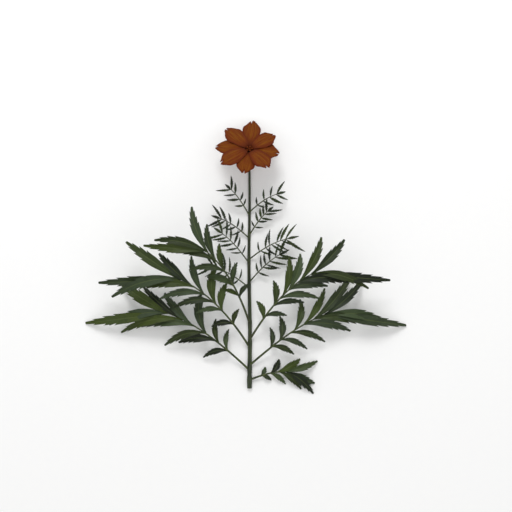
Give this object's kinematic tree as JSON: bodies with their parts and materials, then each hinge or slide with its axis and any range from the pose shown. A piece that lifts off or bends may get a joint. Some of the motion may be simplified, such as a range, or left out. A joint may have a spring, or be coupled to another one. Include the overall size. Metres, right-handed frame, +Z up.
{
  "type": "marigold flower stem",
  "caption": "single marigold bloom on its cut stem with feather-shaped leaves, lying down, for flower arrangements and table scenes",
  "frame": {"origin": "middle of the footprint of the lying flower stem, on the surface it rests on", "axes": "+Z is up, away from the surface; +Y runs along the stem from its cut end towards the bloom; +X is to the right of someone looking down with the bloom at the far end"},
  "size_m": [0.2662, 0.2252, 0.0489],
  "materials": {
    "stem_green": "fibrous ribbed plant stalk, satin",
    "calyx_green": "smooth waxy green cup, faint ribs",
    "petal_rust": "velvety rust orange petal, red margin, yellow streaks",
    "floret_brown": "matte red brown florets with yellow tips",
    "leaf_green": "thin dark green leaf with bluish sheen and pale midrib"
  },
  "bodies": {
    "root": {"stem": "stem_green", "calyx_cup": "calyx_green", "lower_leaf_left_1": "leaf_green", "lower_leaf_right_1": "leaf_green", "lower_leaf_left_2": "leaf_green", "lower_leaf_right_2": "leaf_green", "lower_leaf_left_3": "leaf_green", "lower_leaf_right_3": "leaf_green", "upper_leaf_left_1": "leaf_green", "upper_leaf_right_1": "leaf_green", "upper_leaf_left_2": "leaf_green", "upper_leaf_right_2": "leaf_green", "upper_leaf_left_3": "leaf_green", "upper_leaf_right_3": "leaf_green", "upper_leaf_left_4": "leaf_green", "upper_leaf_right_4": "leaf_green", "disc_floret_1": "floret_brown", "disc_floret_2": "floret_brown", "disc_floret_3": "floret_brown", "disc_floret_4": "floret_brown", "disc_floret_5": "floret_brown", "disc_floret_6": "floret_brown", "petal_1": "petal_rust", "petal_2": "petal_rust", "petal_3": "petal_rust", "petal_4": "petal_rust", "petal_5": "petal_rust", "petal_6": "petal_rust", "petal_7": "petal_rust", "petal_8": "petal_rust"}
  },
  "joints": []
}
